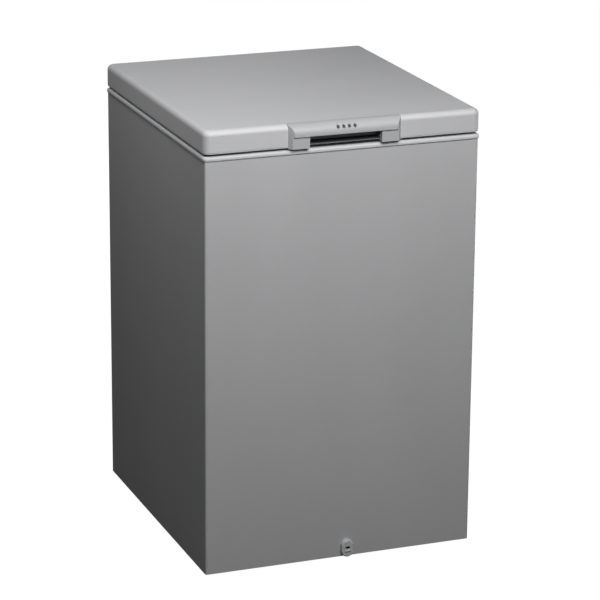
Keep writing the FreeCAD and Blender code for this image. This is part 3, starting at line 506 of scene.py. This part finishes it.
# ---- star badge ------------------------------------------------------------------------------------
# Four small six-pointed stars, the usual mark of a freezer's class, inlaid along the fascia.
# Each is a dark moulding that stands a fraction of a millimetre proud and follows the fascia's curve.
badge_dark = finish("badge_dark", (0.014, 0.015, 0.018), 0.6, grain=2500, depth=0.01, shade=0.1)
badge_low, badge_high = edges_of("star_badge")
star_z = (badge_low.z + badge_high.z) / 2
RELIEF = 0.4
layer = block("badge_layer", (badge_low.x - 5, grip_low.y - RELIEF, FASCIA_LOW),
              (badge_high.x + 5, grip_high.y, grip_high.z + RELIEF))
bevel(layer, lambda edge: all(v.co.y < grip_low.y * MM and v.co.z > grip_high.z * MM for v in edge.verts),
      FASCIA_ROUND + RELIEF, 14)
stars = []
for number in range(4):
    deselect()
    bpy.ops.mesh.primitive_cylinder_add(vertices=12, radius=4.2 * MM, depth=12 * MM, rotation=(math.pi / 2, 0, 0))
    star = bpy.context.object
    star.name = "class_star_%d" % (number + 1)
    bpy.ops.object.transform_apply(location=False, rotation=True, scale=True)
    for vertex in star.data.vertices:
        across, rise = vertex.co.x, vertex.co.z
        if round(math.degrees(math.atan2(rise, across)) / 30) % 2 == 0:
            vertex.co.x, vertex.co.z = across * 0.55, rise * 0.55
        vertex.co += Vector(((number - 1.5) * 11 * MM, (grip_low.y + 5) * MM, star_z * MM))
    modify(star, "BOOLEAN", operation="INTERSECT", object=layer, solver="EXACT")
    stars.append(star)
bpy.data.objects.remove(layer)
badge = joined(stars)
soften(badge, 30)
fit(badge, "lid", badge_dark, "dark_plastic", "star_badge")

# ---- gasket ----------------------------------------------------------------------------------------
# A soft magnetic seal runs round the underside of the lid: a flat rubber tube with a bellows groove
# on its outer side, pressed into the lid frame.
gasket_rubber = finish("gasket_rubber", (0.10, 0.10, 0.105), 0.6, grain=1800, depth=0.03, shade=0.12)
seal_low, seal_high = edges_of("lid_gasket")
seal = block("magnetic_seal", seal_low, seal_high)
bevel(seal, upright, 16, 8)
pick(seal, "FACE", lambda face: abs(face.normal.z) < 0.5)
bpy.ops.mesh.inset(thickness=0.9 * MM, depth=-1.4 * MM, use_even_offset=True)
leave_edit()
seal_mouth = block("seal_mouth", (-242, -272, seal_low.z - 3), (242, 262, seal_high.z + 3))
bevel(seal_mouth, upright, 6, 5)
carve(seal, seal_mouth)
soften(seal, 25)
fit(seal, "lid", gasket_rubber, "soft_rubber", "lid_gasket")

# ---- drain spout -----------------------------------------------------------------------------------
# A small moulded outlet at the foot of the front, round at both ends, with a dark slot and a short
# lip under it for the meltwater.
spout = block("drain_outlet", (spout_low.x, spout_low.y + 1.5, spout_low.z), spout_high)


def runs_back(edge):
    return abs(edge.verts[0].co.y - edge.verts[1].co.y) > 0.004


bevel(spout, runs_back, 11.9, 12)
bevel(spout, lambda edge: all(v.co.y < (spout_low.y + 1.6) * MM for v in edge.verts), 2.2, 4)
slot_cut = block("outlet_slot", (spout_x - 4.6, spout_low.y - 5, 27), (spout_x + 4.6, spout_high.y + 5, 33.5))
bevel(slot_cut, runs_back, 2.5, 5)
carve(spout, slot_cut)
lip_block = block("outlet_lip", (spout_x - 5.8, spout_low.y, 22.6), (spout_x + 5.8, spout_low.y + 4, 26))
bevel(lip_block, lambda edge: True, 1.1, 4)
spout = joined([spout, lip_block])
soften(spout, 40)
fit(spout, "cabinet", lip_plastic, "trim_grey", "drain_spout")


# ---- liner, inner lid and basket -------------------------------------------------------------------
# The food space is lined with white coated aluminium embossed all over with a stucco pattern; the
# lid's lining is smooth white plastic. The basket is welded wire dipped in white plastic.
def stucco(name, colour):
    # embossed sheet: cells of raised metal on the finish's own grain
    material = finish(name, colour, 0.32, metallic=0.0, grain=900, depth=0.02, shade=0.03, coat=0.1)
    tree = material.node_tree
    place = tree.nodes.new("ShaderNodeTexCoord")
    cells = tree.nodes.new("ShaderNodeTexVoronoi")
    cells.feature = "SMOOTH_F1"
    cells.inputs["Scale"].default_value = 190
    raised = tree.nodes.new("ShaderNodeBump")
    raised.inputs["Strength"].default_value = 0.45
    raised.inputs["Distance"].default_value = 0.5 * MM
    tree.links.new(place.outputs["Object"], cells.inputs["Vector"])
    tree.links.new(cells.outputs["Distance"], raised.inputs["Height"])
    tree.links.new(tree.nodes["relief"].outputs[0], raised.inputs["Normal"])
    tree.links.new(raised.outputs[0], tree.nodes["Principled BSDF"].inputs["Normal"])
    return material


def carried(material, *nodes):
    # plain flat pieces keep their own shape and take the finish
    for name in nodes:
        node = frame["nodes"][name]
        node.data.materials.clear()
        node.data.materials.append(material)


def smoothed(name, material, slot, node, angle=35):
    # round pieces: a merged copy shades smoothly where the loose triangles would show facets
    source = frame["nodes"][node]
    piece = bpy.data.objects.new(name, source.data.copy())
    bpy.context.scene.collection.objects.link(piece)
    pick(piece, "FACE", lambda face: True)
    bpy.ops.mesh.remove_doubles(threshold=0.00002)
    leave_edit()
    soften(piece, angle, flat_faces=False)
    fit(piece, source["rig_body"], material, slot, node)
    return piece


white_liner = stucco("stucco_liner", (0.60, 0.62, 0.63))
white_lining = finish("white_lining", (0.60, 0.61, 0.61), 0.40, grain=1500, depth=0.02, shade=0.02)
white_plastic = finish("white_plastic", (0.64, 0.64, 0.62), 0.42, grain=2000, depth=0.02, shade=0.03)
dipped_wire = finish("dipped_wire", (0.66, 0.66, 0.65), 0.32, grain=700, depth=0.05, shade=0.03, coat=0.2)
yellow_foam = finish("rigid_foam", (0.78, 0.62, 0.30), 0.85, grain=500, depth=0.3, shade=0.12)
smoothed("food_liner", white_liner, "white_liner", "inner_liner")
smoothed("lid_lining", white_lining, "white_liner", "lid_inner_panel")
smoothed("wire_basket", dipped_wire, "basket_white", "basket", 60)
smoothed("floor_plug", white_plastic, "white_plastic", "drain_plug")
smoothed("meltwater_tube", white_plastic, "white_plastic", "drain_tube", 50)
carried(yellow_foam, "cabinet_foam", "lid_foam")


# ---- back ------------------------------------------------------------------------------------------
# Galvanised rear sheet, wire-on-tube condenser in black enamel on white standoffs, and a louvred
# cover over the machine bay with the cord's gland.
def spangled_zinc(name, colour, size):
    # hot-dip zinc: flat crystals that differ a little in tone
    material = finish(name, colour, 0.42, metallic=0.85, grain=1400, depth=0.015, shade=0.08)
    tree = material.node_tree
    place = tree.nodes.new("ShaderNodeTexCoord")
    flakes = tree.nodes.new("ShaderNodeTexVoronoi")
    flakes.inputs["Scale"].default_value = size
    tree.links.new(place.outputs["Object"], flakes.inputs["Vector"])
    tree.links.new(flakes.outputs["Color"], tree.nodes["shades"].inputs["Factor"])
    return material


galvanised = spangled_zinc("galvanised_sheet", (0.50, 0.51, 0.53), 90)
zinc_plate = spangled_zinc("zinc_plate", (0.60, 0.61, 0.63), 400)
black_enamel = finish("black_enamel", (0.016, 0.016, 0.018), 0.30, grain=900, depth=0.04, shade=0.2, coat=0.3)
black_plastic = finish("black_plastic", (0.028, 0.028, 0.031), 0.5, grain=1500, depth=0.05, shade=0.15)
copper = finish("copper_tube", (0.68, 0.33, 0.20), 0.32, metallic=1.0, grain=900, depth=0.02, shade=0.14)
carried(galvanised, "rear_panel", "bay_rear_cover", "base_panel", "bay_liner", "compressor_tray")
smoothed("condenser_serpentine", black_enamel, "black_enamel", "condenser_tube", 60)
smoothed("condenser_rods", black_enamel, "black_enamel", "condenser_wires", 60)
carried(white_plastic, "condenser_brackets")
spacers = []
for sign in (-1, 1):
    low, high = edges_of("wall_spacers")
    middle = sign * 62
    spacer = block("wall_spacer_%d" % (len(spacers) + 1), (middle - 14, low.y, low.z), (middle + 14, high.y, high.z))
    bevel(spacer, lambda edge: all(v.co.y > high.y * MM - 0.0001 for v in edge.verts), 5, 5)
    spacers.append(spacer)
spacer_pair = joined(spacers)
soften(spacer_pair)
fit(spacer_pair, "cabinet", black_plastic, "dark_plastic", "wall_spacers")
smoothed("bay_cover_screws", zinc_plate, "zinc", "cover_screws")
smoothed("cord_bush", black_plastic, "dark_plastic", "cord_gland")

# ---- hinges ----------------------------------------------------------------------------------------
# Pressed zinc-plated channels hold the pins; a sprung plunger in a plastic guide lifts the leaf's
# finger, so the lid stays where it is left.
for side in ("left", "right"):
    smoothed(side + "_channel", zinc_plate, "zinc", side + "_hinge_body", 30)
    smoothed(side + "_leaf", zinc_plate, "zinc", side + "_hinge_leaf", 30)
smoothed("hinge_axles", zinc_plate, "zinc", "hinge_pins")
smoothed("channel_screws", zinc_plate, "zinc", "hinge_body_screws")
smoothed("leaf_screws", zinc_plate, "zinc", "hinge_leaf_screws")
smoothed("counterbalance_springs", zinc_plate, "zinc", "hinge_springs", 60)
smoothed("spring_plungers", white_plastic, "white_plastic", "hinge_plungers", 30)
carried(white_plastic, "hinge_guides")

# ---- machine bay -----------------------------------------------------------------------------------
# Welded compressor in black enamel on rubber grommets, with copper pipework; it shows only through
# the grille and the louvres.
smoothed("compressor_can", black_enamel, "black_enamel", "compressor_shell")
smoothed("relay_cover", black_plastic, "dark_plastic", "terminal_cover")
smoothed("grommets", gasket_rubber, "soft_rubber", "compressor_grommets")
smoothed("compressor_studs", zinc_plate, "zinc", "compressor_bolts")
for name, node in (("suction_line", "suction_pipe"), ("discharge_line", "discharge_pipe"), ("drier", "filter_drier"),
                   ("capillary", "capillary_tube"), ("evaporator", "evaporator_coil")):
    smoothed(name, copper, "copper", node, 60)

# ---- controls and feet -----------------------------------------------------------------------------
# A recessed panel low on the right side has the thermostat's knob and three pilot lamps, with scale
# marks moulded round the knob. The grille lets air to the machine bay; the feet screw in below.
smoothed("control_tub", trim_plastic, "trim_grey", "control_panel")
smoothed("air_grille", trim_plastic, "trim_grey", "side_grille")
smoothed("control_knob", black_plastic, "dark_plastic", "thermostat_knob", 30)
smoothed("thermostat", white_plastic, "white_plastic", "thermostat_body", 40)
for name, colour in (("green", (0.03, 0.50, 0.08)), ("amber", (0.90, 0.42, 0.03)), ("red", (0.65, 0.03, 0.02))):
    lens = finish("lens_" + name, colour, 0.12, grain=800, depth=0.01, shade=0.05, coat=0.6)
    smoothed("pilot_" + name, lens, "lens_" + name, "lamp_" + name)
knob_low, knob_high = edges_of("thermostat_knob")
knob_y, knob_z = (knob_low.y + knob_high.y) / 2, (knob_low.z + knob_high.z) / 2
tub_floor = wrap_high.x - 15
marks = []
for number in range(8):
    angle = math.radians(-225 + number * 270 / 7)
    centre = Vector((tub_floor + 0.2, knob_y + 21 * math.cos(angle), knob_z + 21 * math.sin(angle)))
    deselect()
    bpy.ops.mesh.primitive_cube_add(size=1, location=centre * MM, rotation=(angle, 0, 0),
                                    scale=Vector((0.5, 3.0, 0.7 + 0.12 * number)) * MM)
    marks.append(bpy.context.object)
    bpy.ops.object.transform_apply(location=True, rotation=True, scale=True)
dial = joined(marks)
dial.name = "dial_marks"
modify(dial, "BEVEL", width=0.12 * MM, segments=2)
dial.data.materials.append(white_plastic)
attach(dial, "cabinet")
smoothed("screw_feet", black_plastic, "dark_plastic", "levelling_feet")
